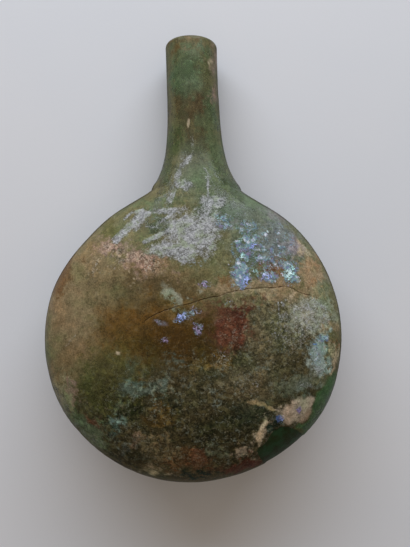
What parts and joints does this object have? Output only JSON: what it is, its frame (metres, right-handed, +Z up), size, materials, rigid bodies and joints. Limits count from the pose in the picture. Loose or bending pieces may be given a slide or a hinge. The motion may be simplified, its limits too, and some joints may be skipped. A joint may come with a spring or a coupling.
{
  "type": "glass perfume flask",
  "caption": "Small blown-glass perfume flask with a flattened round body and a narrow neck, hollow and open at the mouth, lying on its belly",
  "frame": {"origin": "On the surface that the flask lies on, under the centre of its bounding box", "axes": "+Y runs along the neck towards the mouth, +X across the body, +Z up through its thickness"},
  "size_m": [0.0944, 0.1422, 0.0359],
  "materials": {
    "glass": "translucent olive-green glass, weathered: pitted, milky and iridescent films, brown crust, a hairline crack"
  },
  "bodies": {
    "root": {"flask": "glass"}
  },
  "joints": []
}
